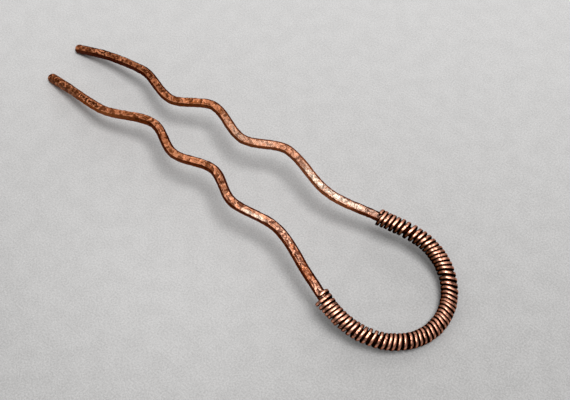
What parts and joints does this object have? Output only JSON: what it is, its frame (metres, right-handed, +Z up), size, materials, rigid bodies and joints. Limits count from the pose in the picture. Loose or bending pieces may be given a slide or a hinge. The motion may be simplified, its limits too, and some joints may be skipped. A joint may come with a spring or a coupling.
{
  "type": "hair fork",
  "caption": "Two-pronged wavy hair fork of hammered copper wire, arched side-on, with a thinner copper wire wound about its bow.",
  "frame": {"origin": "on the surface the fork lies on, under the middle of its outline", "axes": "+X along the fork from the tips to the bow, +Y towards the far prong, +Z up, towards the hump of the arch"},
  "size_m": [0.1437, 0.0368, 0.0157],
  "materials": {
    "hammered_copper": "hammered copper, darkened brown in the dents and towards the tips, brighter on the ridges and near the bow",
    "wrap_copper": "round copper wire, polished on the outside of each turn and dark between the turns"
  },
  "bodies": {
    "root": {"fork_wire": "hammered_copper", "wrap_wire": "wrap_copper"}
  },
  "joints": []
}
